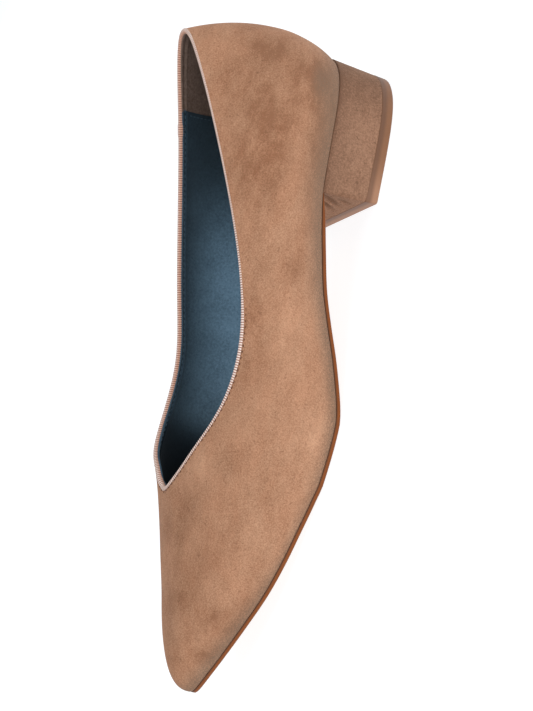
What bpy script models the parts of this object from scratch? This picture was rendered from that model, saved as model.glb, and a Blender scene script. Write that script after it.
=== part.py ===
# Pointed-toe court shoe with a low block heel, left foot, standing on a floor.
# Tables and sizes are in millimetres, x forward from the back of the heel, y to the outer side, z up.
import bmesh
import bpy
import numpy as np
from mathutils import Vector

MM = 0.001                 # metres in a millimetre

# Driving sizes
CLEARANCE = 0.3            # between neighbouring pieces
WALL = 1.8                 # upper with its backing and lining
SOLE_THICKNESS = 1.9
FOOTBED_THICKNESS = 3.0
FOOTBED_INSET = 2.4        # from the outer face of the upper, at the sole
SOCK_THICKNESS = 1.0
SOCK_INSET = 6.1           # leaves the wrapped rim of the footbed in sight
BREAST_X = 65.0            # front face of the heel, at the floor
BREAST_LEAN = 4.0          # forward lean of that face, from the floor to the seat
HEEL_TAPER = 0.97          # width at the floor over the width at the seat
HEEL_OVERHANG = 0.7        # of the heel behind the sole outline, at the seat
HEEL_FLARE = 1.0           # more of it at the floor
TOP_PIECE_HEIGHT = 4.9
BINDING_WIDTH = 2.2
BINDING_HEIGHT = 0.9
KEPT_INSET = 0.98          # share of an inset below which a drawn-in outline has crossed itself
FLAT_SPOT = (157.0, 179.0) # stretch of the sole that lies on the floor

# Mesh resolution
STEPS_PER_RIB = 4          # lines of the upper from one rib of the table to the next
WALL_STEPS = 11            # faces from the sole to the topline
OUTLINE_STEPS = 480
LENGTH_STEPS = 34          # crosswise sections along the foot
HEEL_STEPS = 13

# Ribs of the upper, from the toe along the outer side to the heel and back along the inner side.
# Each rib starts at the sole edge, stands up by its rise while it swells by its bulge towards its
# heading in degrees, and comes down from the topline by its drop over its reach.
RIB_COLUMNS = ("sole_x", "sole_y", "top_x", "top_y", "top_z", "heading", "rise", "bulge", "reach", "drop")
RIBS = {
    "toe": (262.3, -3.4, 191.9, -4.0, 44.9, 0, 15.4, 2.0, 38.0, 11.6),
    "outer_tip": (257.0, 3.3, 190.9, -1.0, 44.9, 20, 15.7, 2.0, 37.0, 11.2),
    "outer_toe": (241.3, 15.4, 188.2, 2.4, 44.6, 28, 15.5, 2.6, 31.0, 9.6),
    "outer_vamp": (215.8, 29.6, 182.8, 8.0, 44.0, 42, 15.5, 4.0, 23.0, 7.0),
    "outer_ball": (188.0, 37.6, 174.0, 15.8, 42.9, 60, 15.5, 4.6, 15.0, 5.0),
    "outer_joint": (160.0, 42.0, 158.0, 24.6, 40.2, 80, 15.0, 4.4, 10.5, 6.0),
    "outer_waist": (136.0, 38.4, 137.0, 30.6, 41.2, 92, 13.0, 5.0, 7.5, 9.0),
    "outer_shank": (108.0, 33.2, 110.0, 31.0, 48.2, 92, 12.0, 6.4, 8.4, 12.0),
    "outer_arch": (80.0, 30.8, 80.0, 26.6, 59.4, 94, 13.0, 8.0, 13.0, 16.0),
    "outer_seat": (50.0, 28.6, 50.0, 20.2, 71.8, 100, 15.0, 8.0, 15.6, 22.0),
    "outer_heel": (22.0, 23.0, 29.0, 13.6, 80.6, 122, 16.0, 8.8, 15.0, 26.0),
    "outer_back": (7.6, 11.4, 17.4, 6.4, 85.1, 152, 16.0, 7.6, 15.2, 23.2),
    "back": (4.0, 0.0, 15.0, 0.0, 86.1, 180, 16.0, 6.8, 15.4, 22.4),
    "inner_back": (7.6, -11.6, 17.9, -6.2, 84.6, 208, 16.0, 8.0, 15.2, 25.8),
    "inner_heel": (22.0, -23.2, 29.0, -13.0, 79.6, 238, 16.0, 9.0, 15.6, 26.0),
    "inner_seat": (50.0, -26.8, 50.0, -20.2, 70.9, 260, 15.0, 9.5, 17.0, 22.0),
    "inner_arch": (80.0, -23.6, 80.0, -28.8, 59.9, 266, 12.0, 12.0, 13.0, 16.0),
    "inner_shank": (108.0, -20.6, 110.0, -32.8, 50.5, 270, 10.0, 11.0, 8.5, 12.0),
    "inner_waist": (134.0, -24.6, 134.0, -33.2, 44.3, 272, 10.0, 8.5, 8.0, 10.0),
    "inner_joint": (158.0, -34.6, 156.0, -29.4, 44.6, 282, 13.0, 4.8, 9.0, 8.0),
    "inner_ball": (182.0, -37.2, 174.0, -21.8, 47.3, 300, 14.5, 3.0, 12.5, 7.0),
    "inner_vamp": (210.0, -31.4, 183.2, -13.8, 47.3, 320, 13.5, 2.4, 21.0, 10.0),
    "inner_toe": (236.2, -19.6, 188.4, -9.0, 46.5, 336, 13.5, 2.0, 30.0, 12.0),
    "inner_tip": (255.6, -9.8, 190.9, -6.6, 45.3, 347, 14.6, 1.8, 36.0, 12.0),
}

# Underside of the sole from the heel seat over the arch to the toe spring: x, height over the floor
UNDERSIDE = (
    (-5.0, 22.9), (40.0, 22.8), (56.0, 22.4), (66.0, 22.0), (80.0, 19.8), (95.0, 16.4),
    (107.0, 13.5), (120.0, 9.4), (132.0, 5.5), (144.0, 2.4), (151.0, 0.8), (FLAT_SPOT[0], 0.0),
    (FLAT_SPOT[1], 0.0), (185.0, 0.7), (191.0, 1.5), (198.0, 2.5), (210.0, 4.0), (222.0, 5.7),
    (235.0, 8.2), (248.0, 10.5), (262.0, 12.7), (268.0, 13.5),
)

# Section of the topline tape: share of half its width, share of its height
BINDING_BEAD = ((1.0, 0.0), (1.0, 0.6), (0.5, 1.0), (-0.5, 1.0), (-1.0, 0.6), (-1.0, 0.0))

# Finish of each piece: colour (linear), roughness
FINISHES = {
    "upper": ((0.42, 0.25, 0.15), 0.95),
    "topline_binding": ((0.72, 0.58, 0.49), 0.85),
    "footbed": ((0.17, 0.10, 0.065), 0.95),
    "sock": ((0.74, 0.53, 0.35), 0.55),
    "outsole": ((0.30, 0.12, 0.045), 0.55),
    "heel": ((0.40, 0.24, 0.145), 0.95),
    "top_piece": ((0.42, 0.21, 0.10), 0.6),
}


def clear_scene():
    for old in list(bpy.data.objects):
        bpy.data.objects.remove(old, do_unlink=True)


def underside(x):
    """Height of the sole's underside at x, by a cubic that never overshoots its rows."""
    row_x, row_z = np.array(UNDERSIDE).T
    step = np.diff(row_x)
    slope = np.diff(row_z) / step
    tangent = np.zeros_like(row_x)
    tangent[0], tangent[-1] = slope[0], slope[-1]
    before, after = slope[:-1], slope[1:]
    same_way = before * after > 0
    weight_a = 2 * step[1:] + step[:-1]
    weight_b = step[1:] + 2 * step[:-1]
    safe_before = np.where(same_way, before, 1.0)
    safe_after = np.where(same_way, after, 1.0)
    mean = (weight_a + weight_b) / (weight_a / safe_before + weight_b / safe_after)
    tangent[1:-1] = np.where(same_way, mean, 0.0)
    i = np.clip(np.searchsorted(row_x, x) - 1, 0, len(step) - 1)
    t = (x - row_x[i]) / step[i]
    return ((2 * t**3 - 3 * t**2 + 1) * row_z[i] + (t**3 - 2 * t**2 + t) * step[i] * tangent[i]
            + (3 * t**2 - 2 * t**3) * row_z[i + 1] + (t**3 - t**2) * step[i] * tangent[i + 1])


def seat(x):
    """Height on which upper and footbed stand: the top of the outsole and of the heel."""
    return underside(x) + SOLE_THICKNESS


def closed_spline(knots, period, rows, at):
    """Smooth closed curve through the rows, one value for each column."""
    count = len(knots)
    step = np.diff(np.append(knots, period))
    slope = (np.roll(rows, -1, axis=0) - rows) / step[:, None]
    system = np.zeros((count, count))
    for i in range(count):
        system[i, i - 1] += step[i - 1]
        system[i, i] += 2 * (step[i - 1] + step[i])
        system[i, (i + 1) % count] += step[i]
    bend = np.linalg.solve(system, 6 * (slope - np.roll(slope, 1, axis=0)))
    i = np.clip(np.searchsorted(knots, at, side="right") - 1, 0, count - 1)
    after = (i + 1) % count
    t = (at - knots[i])[:, None]
    width = step[i][:, None]
    lead = slope[i] - width * (2 * bend[i] + bend[after]) / 6
    return rows[i] + lead * t + bend[i] / 2 * t**2 + (bend[after] - bend[i]) / (6 * width) * t**3


def rib_lines(steps):
    """The rib table's columns, filled in by a number of even steps from each rib to the next."""
    rows = np.array(list(RIBS.values()), dtype=float)
    sole = rows[:, :2]
    span = np.linalg.norm(np.roll(sole, -1, axis=0) - sole, axis=1) ** 0.5
    knots = np.append(0.0, np.cumsum(span)[:-1])
    period = span.sum()
    turn = RIB_COLUMNS.index("heading")
    rows[:, turn] -= 360 * knots / period
    part = np.arange(steps) / steps
    at = (knots[:, None] + span[:, None] * part).ravel()
    lines = closed_spline(knots, period, rows, at)
    lines[:, turn] += 360 * at / period
    return dict(zip(RIB_COLUMNS, lines.T))


def rib_handles(lines):
    """Start, two handles and end of the curve that each rib follows."""
    heading = np.radians(lines["heading"])
    outward = np.stack([np.cos(heading), np.sin(heading), np.zeros_like(heading)], axis=1)
    upward = np.array([0.0, 0.0, 1.0])
    foot_z = seat(lines["sole_x"]) + CLEARANCE
    foot = np.stack([lines["sole_x"], lines["sole_y"], foot_z], axis=1)
    top = np.stack([lines["top_x"], lines["top_y"], lines["top_z"]], axis=1)
    lower = foot + outward * lines["bulge"][:, None] + upward * lines["rise"][:, None]
    higher = top + outward * lines["reach"][:, None] - upward * lines["drop"][:, None]
    return foot, lower, higher, top


def sole_outline(inset):
    """Closed plan outline of the upper at the sole, drawn in by an inset, without its crossed ends."""
    lines = rib_lines(OUTLINE_STEPS // len(RIBS))
    loop = np.stack([lines["sole_x"], lines["sole_y"]], axis=1)
    along = np.roll(loop, -1, axis=0) - np.roll(loop, 1, axis=0)
    inward = np.stack([-along[:, 1], along[:, 0]], axis=1)
    inward /= np.linalg.norm(inward, axis=1)[:, None]
    moved = loop + inward * inset
    nearest = np.linalg.norm(moved[:, None] - loop[None], axis=2).min(axis=1)
    return moved[nearest >= inset * KEPT_INSET]


def widths(outline, x):
    """Inner and outer y of an outline at each x."""
    toe = np.argmax(outline[:, 0])
    loop = np.roll(outline, -toe, axis=0)
    back = np.argmin(loop[:, 0])
    outer = loop[:back + 1][::-1]
    inner = loop[back:]
    return np.interp(x, inner[:, 0], inner[:, 1]), np.interp(x, outer[:, 0], outer[:, 1])


def eased(start, end, count):
    """Stations from start to end, close together at both ends."""
    t = np.linspace(0, np.pi, count)
    return start + (end - start) * (1 - np.cos(t)) / 2


def add_piece(name, bm):
    """A named object with its own finish, from a bmesh in millimetres."""
    bmesh.ops.scale(bm, vec=Vector((MM, MM, MM)), verts=bm.verts)
    mesh = bpy.data.meshes.new(name)
    bm.to_mesh(mesh)
    bm.free()
    mesh.shade_smooth()
    colour, roughness = FINISHES[name]
    finish = bpy.data.materials.new(name)
    finish.use_nodes = True
    shader = finish.node_tree.nodes["Principled BSDF"]
    shader.inputs["Base Color"].default_value = (*colour, 1.0)
    shader.inputs["Roughness"].default_value = roughness
    shader.inputs["Metallic"].default_value = 0.0
    mesh.materials.append(finish)
    piece = bpy.data.objects.new(name, mesh)
    shoe.objects.link(piece)
    return piece


def ring(bm, points):
    """A closed loop of edges through the points."""
    verts = [bm.verts.new(p) for p in points]
    return [bm.edges.new((a, b)) for a, b in zip(verts, verts[1:] + verts[:1])]


def loft(sections, capped, joined=False):
    """A skin over closed sections: capped at both ends, or with its last section joined to its first."""
    bm = bmesh.new()
    rings = [ring(bm, points) for points in sections]
    following = rings[1:] + rings[:1] if joined else rings[1:]
    for near, far in zip(rings, following):
        bmesh.ops.bridge_loops(bm, edges=near + far)
    if capped:
        bmesh.ops.contextual_create(bm, geom=rings[0])
        bmesh.ops.contextual_create(bm, geom=rings[-1])
    bmesh.ops.recalc_face_normals(bm, faces=bm.faces)
    return bm


def make_upper():
    """One wall on the ribs, open at the topline and underneath, thickened inwards."""
    foot, lower, higher, top = rib_handles(rib_lines(STEPS_PER_RIB))
    rings = []
    for t in np.linspace(0, 1, WALL_STEPS + 1):
        s = 1 - t
        rings.append(s**3 * foot + 3 * s**2 * t * lower + 3 * s * t**2 * higher + t**3 * top)
    bm = loft(rings, capped=False)
    piece = add_piece("upper", bm)
    wall = piece.modifiers.new("wall", "SOLIDIFY")
    wall.thickness = WALL * MM
    wall.offset = -1
    wall.use_even_offset = True
    wall.use_rim = True
    return piece


def make_topline_binding():
    """Folded tape along the topline: a rounded bead that caps the edge of the wall."""
    foot, lower, higher, top = rib_handles(rib_lines(STEPS_PER_RIB))
    along = np.roll(top, -1, axis=0) - np.roll(top, 1, axis=0)
    along /= np.linalg.norm(along, axis=1)[:, None]
    rising = top - higher
    rising -= along * (rising * along).sum(axis=1)[:, None]
    rising /= np.linalg.norm(rising, axis=1)[:, None]
    outward = np.cross(along, rising)
    across, over = np.array(BINDING_BEAD).T
    across = across * BINDING_WIDTH / 2 - WALL / 2
    over = over * BINDING_HEIGHT + CLEARANCE
    sections = []
    for point, side, lift in zip(top, outward, rising):
        sections.append(point + side * across[:, None] + lift * over[:, None])
    return add_piece("topline_binding", loft(sections, capped=False, joined=True))


def sheet(name, inset, low, high, start=None):
    """A bent sheet inside an outline, between two heights over the seat."""
    outline = sole_outline(inset)
    first = outline[:, 0].min() + CLEARANCE if start is None else start
    stations = np.append(eased(first, outline[:, 0].max() - CLEARANCE, LENGTH_STEPS), FLAT_SPOT)
    sections = []
    for x in np.unique(stations):
        inner, outer = widths(outline, x)
        bottom, top = seat(x) + low, seat(x) + high
        sections.append([(x, inner, bottom), (x, outer, bottom), (x, outer, top), (x, inner, top)])
    return add_piece(name, loft(sections, capped=True))


def make_footbed():
    return sheet("footbed", FOOTBED_INSET, CLEARANCE, CLEARANCE + FOOTBED_THICKNESS)


def make_sock():
    low = 2 * CLEARANCE + FOOTBED_THICKNESS
    return sheet("sock", SOCK_INSET, low, low + SOCK_THICKNESS)


def make_outsole():
    start = BREAST_X + BREAST_LEAN + CLEARANCE
    return sheet("outsole", 0.0, -SOLE_THICKNESS, 0.0, start=start)


def heel_section(outline, share, raised):
    """x, inner y and outer y of the heel, a share of the way from its back to its breast."""
    back = outline[:, 0].min() + CLEARANCE
    front = BREAST_X + BREAST_LEAN * raised
    x = back + (front - back) * share
    inner, outer = widths(outline, x)
    narrowing = HEEL_TAPER + (1 - HEEL_TAPER) * raised
    overhang = (HEEL_OVERHANG + HEEL_FLARE * (1 - raised)) * (1 - share)
    return x - overhang, inner * narrowing, outer * narrowing


def heel_block(name, low, high=None):
    """The heel between two heights, or up to the seat: round at the back, straight at the breast."""
    outline = sole_outline(0.0)
    seat_height = seat(BREAST_X)
    sections = []
    for share in np.linspace(0, 1, HEEL_STEPS) ** 2:
        x, inner, outer = heel_section(outline, share, low / seat_height)
        top_x, top_inner, top_outer = heel_section(outline, share, high / seat_height if high else 1.0)
        top_z = high if high else seat(top_x)
        sections.append([(x, inner, low), (x, outer, low), (top_x, top_outer, top_z), (top_x, top_inner, top_z)])
    return add_piece(name, loft(sections, capped=True))


def make_heel():
    return heel_block("heel", TOP_PIECE_HEIGHT + CLEARANCE)


def make_top_piece():
    return heel_block("top_piece", 0.0, TOP_PIECE_HEIGHT)


def stand_on_origin(pieces):
    """Hangs the pieces on an empty, so that the middle of the shoe's box on the floor is the origin."""
    bpy.context.view_layer.update()
    corners = np.array([corner for piece in pieces for corner in piece.bound_box])
    low, high = corners.min(axis=0), corners.max(axis=0)
    stand = bpy.data.objects.new("stand", None)
    shoe.objects.link(stand)
    stand.location = (-(low[0] + high[0]) / 2, -(low[1] + high[1]) / 2, -low[2])
    for piece in pieces:
        piece.parent = stand


clear_scene()
shoe = bpy.data.collections.new("pointed_toe_flat")
bpy.context.scene.collection.children.link(shoe)
stand_on_origin([
    make_upper(),
    make_topline_binding(),
    make_footbed(),
    make_sock(),
    make_outsole(),
    make_heel(),
    make_top_piece(),
])
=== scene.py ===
# Left pointed-toe court shoe with a low block heel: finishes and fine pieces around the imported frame.
import math
from functools import partial

import bmesh
import bpy
import numpy as np
from mathutils import Matrix, Vector


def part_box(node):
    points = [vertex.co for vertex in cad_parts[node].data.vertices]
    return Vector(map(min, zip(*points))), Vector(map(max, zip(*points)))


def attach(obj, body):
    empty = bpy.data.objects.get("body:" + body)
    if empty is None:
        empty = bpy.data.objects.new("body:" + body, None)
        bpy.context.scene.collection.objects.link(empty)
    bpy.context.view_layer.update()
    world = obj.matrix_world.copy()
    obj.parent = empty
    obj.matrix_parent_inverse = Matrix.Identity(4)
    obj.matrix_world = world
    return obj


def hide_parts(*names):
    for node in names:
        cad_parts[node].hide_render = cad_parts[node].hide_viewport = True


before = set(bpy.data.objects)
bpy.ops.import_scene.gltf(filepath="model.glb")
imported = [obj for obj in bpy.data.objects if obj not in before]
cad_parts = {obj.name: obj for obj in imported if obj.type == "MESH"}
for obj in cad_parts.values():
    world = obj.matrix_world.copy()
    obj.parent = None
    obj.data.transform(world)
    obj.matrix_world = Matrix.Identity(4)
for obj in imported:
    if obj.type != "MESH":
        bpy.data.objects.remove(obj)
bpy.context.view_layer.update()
axes = np.eye(3)  # along the shoe, to its outer side, up
mm = 0.001  # metres; the shoe's tables are in mm, x forward from the heel's back, y to the outer side, z up

# the last: ribs from the toe along the outer side to the heel and back along the inner side
last = {
    "columns": ("soleX", "soleY", "topX", "topY", "topZ", "heading", "rise", "bulge", "reach", "drop"),
    "ribs": {
        "toe": (262.3, -3.4, 191.9, -4.0, 44.9, 0, 15.4, 2.0, 38.0, 11.6),
        "outerTip": (257.0, 3.3, 190.9, -1.0, 44.9, 20, 15.7, 2.0, 37.0, 11.2),
        "outerToe": (241.3, 15.4, 188.2, 2.4, 44.6, 28, 15.5, 2.6, 31.0, 9.6),
        "outerVamp": (215.8, 29.6, 182.8, 8.0, 44.0, 42, 15.5, 4.0, 23.0, 7.0),
        "outerBall": (188.0, 37.6, 174.0, 15.8, 42.9, 60, 15.5, 4.6, 15.0, 5.0),
        "outerJoint": (160.0, 42.0, 158.0, 24.6, 40.2, 80, 15.0, 4.4, 10.5, 6.0),
        "outerWaist": (136.0, 38.4, 137.0, 30.6, 41.2, 92, 13.0, 5.0, 7.5, 9.0),
        "outerShank": (108.0, 33.2, 110.0, 31.0, 48.2, 92, 12.0, 6.4, 8.4, 12.0),
        "outerArch": (80.0, 30.8, 80.0, 26.6, 59.4, 94, 13.0, 8.0, 13.0, 16.0),
        "outerSeat": (50.0, 28.6, 50.0, 20.2, 71.8, 100, 15.0, 8.0, 15.6, 22.0),
        "outerHeel": (22.0, 23.0, 29.0, 13.6, 80.6, 122, 16.0, 8.8, 15.0, 26.0),
        "outerBack": (7.6, 11.4, 17.4, 6.4, 85.1, 152, 16.0, 7.6, 15.2, 23.2),
        "back": (4.0, 0.0, 15.0, 0.0, 86.1, 180, 16.0, 6.8, 15.4, 22.4),
        "innerBack": (7.6, -11.6, 17.9, -6.2, 84.6, 208, 16.0, 8.0, 15.2, 25.8),
        "innerHeel": (22.0, -23.2, 29.0, -13.0, 79.6, 238, 16.0, 9.0, 15.6, 26.0),
        "innerSeat": (50.0, -26.8, 50.0, -20.2, 70.9, 260, 15.0, 9.5, 17.0, 22.0),
        "innerArch": (80.0, -23.6, 80.0, -28.8, 59.9, 266, 12.0, 12.0, 13.0, 16.0),
        "innerShank": (108.0, -20.6, 110.0, -32.8, 50.5, 270, 10.0, 11.0, 8.5, 12.0),
        "innerWaist": (134.0, -24.6, 134.0, -33.2, 44.3, 272, 10.0, 8.5, 8.0, 10.0),
        "innerJoint": (158.0, -34.6, 156.0, -29.4, 44.6, 282, 13.0, 4.8, 9.0, 8.0),
        "innerBall": (182.0, -37.2, 174.0, -21.8, 47.3, 300, 14.5, 3.0, 12.5, 7.0),
        "innerVamp": (210.0, -31.4, 183.2, -13.8, 47.3, 320, 13.5, 2.4, 21.0, 10.0),
        "innerToe": (236.2, -19.6, 188.4, -9.0, 46.5, 336, 13.5, 2.0, 30.0, 12.0),
        "innerTip": (255.6, -9.8, 190.9, -6.6, 45.3, 347, 14.6, 1.8, 36.0, 12.0),
    },
    "underside": (  # x, height over the floor
        (-5.0, 22.9), (40.0, 22.8), (56.0, 22.4), (66.0, 22.0), (80.0, 19.8), (95.0, 16.4),
        (107.0, 13.5), (120.0, 9.4), (132.0, 5.5), (144.0, 2.4), (151.0, 0.8), (157.0, 0.0),
        (179.0, 0.0), (185.0, 0.7), (191.0, 1.5), (198.0, 2.5), (210.0, 4.0), (222.0, 5.7),
        (235.0, 8.2), (248.0, 10.5), (262.0, 12.7), (268.0, 13.5),
    ),
    "soleThickness": 1.9,
    "clearance": 0.3,  # between neighbouring pieces
    "wall": 1.8,  # suede with backing and lining
    "breastX": 65.0,  # front face of the heel, at the floor
    "breastLean": 4.0,  # forward lean of that face up to the seat
    "outlineSteps": 40,  # per rib
}
ribNames = list(last["ribs"])
ribCount = len(ribNames)


def underside(x):
    rowX, rowZ = np.array(last["underside"]).T
    step = np.diff(rowX)
    slope = np.diff(rowZ) / step
    before, after = slope[:-1], slope[1:]
    sameWay = before * after > 0
    weightA = 2 * step[1:] + step[:-1]
    weightB = step[1:] + 2 * step[:-1]
    spread = weightA / np.where(sameWay, before, 1) + weightB / np.where(sameWay, after, 1)
    mean = (weightA + weightB) / spread
    tangent = np.concatenate([slope[:1], np.where(sameWay, mean, 0), slope[-1:]])  # never overshoots
    i = np.clip(np.searchsorted(rowX, x) - 1, 0, len(step) - 1)
    t = (x - rowX[i]) / step[i]
    return ((2 * t**3 - 3 * t**2 + 1) * rowZ[i] + (t**3 - 2 * t**2 + t) * step[i] * tangent[i]
            + (3 * t**2 - 2 * t**3) * rowZ[i + 1] + (t**3 - t**2) * step[i] * tangent[i + 1])


def seat(x):
    return underside(x) + last["soleThickness"]  # top of the outsole and of the heel


def closedSpline(knots, period, rows, at):
    count = len(knots)
    step = np.diff(np.append(knots, period))
    slope = (np.roll(rows, -1, axis=0) - rows) / step[:, None]
    system = np.zeros((count, count))
    for i in range(count):
        system[i, i - 1] += step[i - 1]
        system[i, i] += 2 * (step[i - 1] + step[i])
        system[i, (i + 1) % count] += step[i]
    bend = np.linalg.solve(system, 6 * (slope - np.roll(slope, 1, axis=0)))
    i = np.clip(np.searchsorted(knots, at, side="right") - 1, 0, count - 1)
    after = (i + 1) % count
    t = (at - knots[i])[:, None]
    width = step[i][:, None]
    lead = slope[i] - width * (2 * bend[i] + bend[after]) / 6
    return rows[i] + lead * t + bend[i] / 2 * t**2 + (bend[after] - bend[i]) / (6 * width) * t**3


def ribsAt(index):  # the table's columns at places counted in ribs from the toe
    rows = np.array(list(last["ribs"].values()), dtype=float)
    sole = rows[:, :2]
    span = np.linalg.norm(np.roll(sole, -1, axis=0) - sole, axis=1) ** 0.5
    knots = np.append(0.0, np.cumsum(span)[:-1])
    period = span.sum()
    turn = last["columns"].index("heading")
    rows[:, turn] -= 360 * knots / period
    whole = np.floor(index).astype(int)
    at = knots[whole % ribCount] + span[whole % ribCount] * (index - whole)
    lines = closedSpline(knots, period, rows, at)
    lines[:, turn] += 360 * at / period
    return dict(zip(last["columns"], lines.T))


def ribHandles(index):
    rib = ribsAt(index)
    heading = np.radians(rib["heading"])
    outward = np.stack([np.cos(heading), np.sin(heading), 0 * heading], axis=1)
    foot = np.stack([rib["soleX"], rib["soleY"], seat(rib["soleX"]) + last["clearance"]], axis=1)
    top = np.stack([rib["topX"], rib["topY"], rib["topZ"]], axis=1)
    lower = foot + outward * rib["bulge"][:, None] + axes[2] * rib["rise"][:, None]
    higher = top + outward * rib["reach"][:, None] - axes[2] * rib["drop"][:, None]
    return foot, lower, higher, top


def wallPoints(index, up):  # up runs from 0 at the sole to 1 at the topline
    foot, lower, higher, top = (row.reshape(index.shape + (3,)) for row in ribHandles(index.ravel()))
    up = np.asarray(up)[..., None]
    down = 1 - up
    return down**3 * foot + 3 * down**2 * up * lower + 3 * down * up**2 * higher + up**3 * top


def unit(vectors):
    return vectors / np.linalg.norm(vectors, axis=-1, keepdims=True)


def softStep(value, at, soft):  # 0 below that place, 1 above it
    return 1 / (1 + np.exp((at - value) / soft))


def bell(offset, wide):
    return np.exp(-(offset / wide) ** 2)


def between(index, span):  # 1 between two ribs, with soft ends
    start, end, soft = span
    return softStep(index, start, soft) * softStep(end, index, soft)


def wallNormals(index, up, small=1e-3):
    along = wallPoints(index + small, up) - wallPoints(index - small, up)
    climb = wallPoints(index, up + small) - wallPoints(index, up - small)
    return unit(np.cross(along, climb))


def ribLength(rib, up):  # mm from half a rib before to half a rib after
    before, after = wallPoints(np.array([rib - 0.5, rib + 0.5]), up)
    return np.linalg.norm(after - before)


def upPerMm(index):  # share of the way up that 1 mm takes beside the topline
    _, _, higher, top = ribHandles(index)
    return 1 / (3 * np.linalg.norm(top - higher, axis=1))


def soleOutline(inset, keptInset=0.98):  # plan outline drawn in by an inset, without its crossed ends
    rib = ribsAt(np.arange(0, ribCount, 1 / last["outlineSteps"]))
    loop = np.stack([rib["soleX"], rib["soleY"]], axis=1)
    along = unit(np.roll(loop, -1, axis=0) - np.roll(loop, 1, axis=0))
    moved = loop + np.stack([-along[:, 1], along[:, 0]], axis=1) * inset
    nearest = np.linalg.norm(moved[:, None] - loop[None], axis=2).min(axis=1)
    return moved[nearest >= inset * keptInset]


def widths(outline, x):  # inner and outer y at each x
    loop = np.roll(outline, -np.argmax(outline[:, 0]), axis=0)
    back = np.argmin(loop[:, 0])
    outer = loop[:back + 1][::-1]
    inner = loop[back:]
    return np.interp(x, inner[:, 0], inner[:, 1]), np.interp(x, outer[:, 0], outer[:, 1])


def evenly(path, pitch):  # points at even distances along a path, with the path's own place of each
    run = np.append(0.0, np.cumsum(np.linalg.norm(np.diff(path, axis=0), axis=1)))
    stops = np.linspace(0, run[-1], int(round(run[-1] / pitch)) + 1)
    return np.interp(stops, run, np.arange(len(path)))


def pathAt(path, at):  # places along a path, counted in its points
    return np.column_stack([np.interp(at, np.arange(len(path)), column) for column in path.T])


def lastShift():  # from the tables' origin to the frame's, by the upper's own box
    rings = wallPoints(np.arange(0, ribCount, 0.25), np.linspace(0, 1, 12)[:, None]).reshape(-1, 3)
    low, high = (np.array(corner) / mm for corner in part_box("upper"))
    shift = (low + high) / 2 - (rings.min(axis=0) + rings.max(axis=0)) / 2
    return np.array([shift[0], shift[1], 0.0])


shift = lastShift()
print("last placed, shift in mm", shift.round(2))


def place(points):
    return (np.asarray(points) + shift) * mm


# camera at the photo's place, rolled so that the toe points down, turned to the middle of the shoe
cameraSetup = {
    "eye": (251.4, 495.8, 208.4),
    "aim": (132.5, 9.9, 22.6),
    "pictureUp": (-0.9465, 0.1171, 0.3006),
    "lens": 69.8,  # mm, with the sensor as the picture's long side
    "sensor": 36.0,
    "clip": (0.01, 50.0),  # m
}


def addObject(name, data):
    made = bpy.data.objects.new(name, data)
    bpy.context.scene.collection.objects.link(made)
    return made


def setCamera():
    data = bpy.data.cameras.new("photoCamera")
    data.sensor_width = cameraSetup["sensor"]
    data.lens = cameraSetup["lens"]
    data.clip_start, data.clip_end = cameraSetup["clip"]
    camera = addObject("photoCamera", data)
    eye, aim = Vector(place(cameraSetup["eye"])), Vector(place(cameraSetup["aim"]))
    back = (eye - aim).normalized()
    right = Vector(cameraSetup["pictureUp"]).cross(back).normalized()
    turn = Matrix((right, back.cross(right), back)).transposed().to_4x4()
    camera.matrix_world = Matrix.Translation(eye) @ turn
    bpy.context.scene.camera = camera


setCamera()
print("camera set")


def linear(hexColour):  # sRGB hex to linear RGBA
    parts = [int(hexColour[i:i + 2], 16) / 255 for i in (1, 3, 5)]
    return [c / 12.92 if c <= 0.04045 else ((c + 0.055) / 1.055) ** 2.4 for c in parts] + [1.0]


def setInput(tree, socket, value):  # links a socket, turns a hex colour linear or sets a value
    if isinstance(value, bpy.types.NodeSocket):
        tree.links.new(value, socket)
    else:
        socket.default_value = linear(value) if isinstance(value, str) else value


usual = {  # what most nodes of a kind have here; out is the output that is returned
    "Mix": {"out": 2, "data_type": "RGBA"}, "Math": {"operation": "MULTIPLY_ADD"},
    "Attribute": {"out": "Fac"}, "TexCoord": {"out": "Object"},
}
mixA, mixB = 6, 7  # the colour inputs of a Mix node


def node(owner, kind, inputs=None, **settings):  # adds a node and returns one of its outputs
    tree = owner.node_tree
    made = tree.nodes.new("ShaderNode" + kind)
    settings = {"out": 0, **usual.get(kind, {}), **settings}
    out = settings.pop("out")
    for key, value in settings.items():
        setattr(made, key, value)
    for key, value in (inputs or {}).items():
        setInput(tree, made.inputs[key], value)
    return made.outputs[out]


def dress(material, sockets):  # sets and links sockets of its Principled shader
    tree = material.node_tree
    for key, value in sockets.items():
        setInput(tree, tree.nodes["Principled BSDF"].inputs[key], value)
    return material


def newMaterial(name, sockets):
    # a material with its even values set, its Object coordinates, and the call that adds a node to it
    material = bpy.data.materials.new(name)
    material.use_nodes = True
    add = partial(node, material)
    return dress(material, sockets), add("TexCoord"), add


def perMm(size):
    return 1 / (size * mm)  # pattern scale on Object coordinates for a feature of that many mm


def mottle(add, vector, size, detail, low, high, rough=0.65):
    # noise of that size in mm, stretched so that low comes to 0 and high to 1
    cloud = add("TexNoise", {
        "Vector": vector, "Scale": perMm(size), "Detail": detail, "Roughness": rough})
    return add("MapRange", {"Value": cloud, "From Min": low, "From Max": high})


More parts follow.
